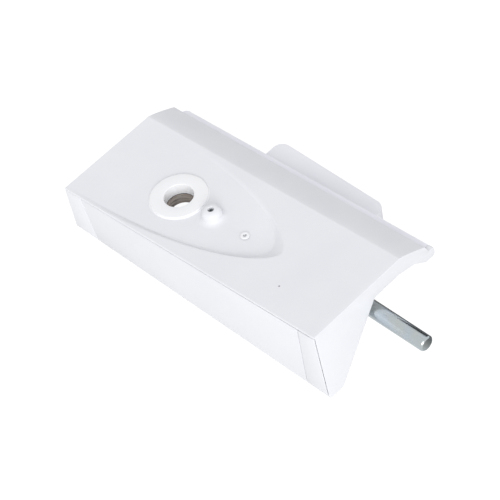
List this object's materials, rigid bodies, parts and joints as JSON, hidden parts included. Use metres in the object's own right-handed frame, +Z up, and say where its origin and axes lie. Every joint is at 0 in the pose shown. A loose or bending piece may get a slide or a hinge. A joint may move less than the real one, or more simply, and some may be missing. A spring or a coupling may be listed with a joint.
{
  "type": "crank-operated sash bolt unit",
  "caption": "Sloping white case on a mounting block with a threaded crank socket that drives a sliding steel bolt through a pinion and rack.",
  "frame": {"origin": "centre of the mounting block's flat underside", "axes": "+X along the rod towards its free end, +Y from the front skirt to the back, +Z up, square to the block's underside"},
  "size_m": [0.1958, 0.0931, 0.0435],
  "materials": {
    "white_plastic": "fine satin moulded white",
    "white_acetal": "smooth unpainted white bearing plastic",
    "zinc_plate": "bright zinc plated steel with a faint blue tint",
    "plain_steel": "plain machined steel, darker"
  },
  "bodies": {
    "housing": {"housing_shell": "white_plastic", "front_skirt": "white_plastic", "skirt_corner_left": "white_plastic", "skirt_corner_right": "white_plastic", "rear_strip": "white_plastic", "mounting_block": "white_plastic", "guide_bush_1": "white_acetal", "guide_bush_2": "white_acetal", "rack_guide": "white_acetal", "eyelet": "white_acetal", "bearing_plate": "zinc_plate", "bearing_screw_1": "zinc_plate", "bearing_screw_2": "zinc_plate", "case_screw_1": "zinc_plate", "case_screw_2": "zinc_plate", "case_screw_3": "zinc_plate", "case_screw_4": "zinc_plate", "adjusting_screw": "plain_steel"},
    "crank_drive": {"crank_bush": "plain_steel", "pinion": "plain_steel", "thrust_washer": "white_acetal"},
    "bolt": {"drive_rod": "zinc_plate", "stop_collar": "zinc_plate", "rack_bar": "plain_steel", "cross_pin": "plain_steel", "retaining_clip": "plain_steel"}
  },
  "joints": [
    {"name": "crank_turn", "type": "hinge", "parent": "housing", "child": "crank_drive", "pos_m": [-0.03751, -0.03395, 0.03313], "axis": [-0.0884, 0, 0.9961], "range_deg": [0, 87.81]},
    {"name": "bolt_slide", "type": "slide", "parent": "housing", "child": "bolt", "axis": [1, 0, 0], "range_m": [-0.02, 0]}
  ],
  "couplings": [
    {"joint": "crank_turn", "follows": "bolt_slide", "rad_per_m": -76.622}
  ]
}
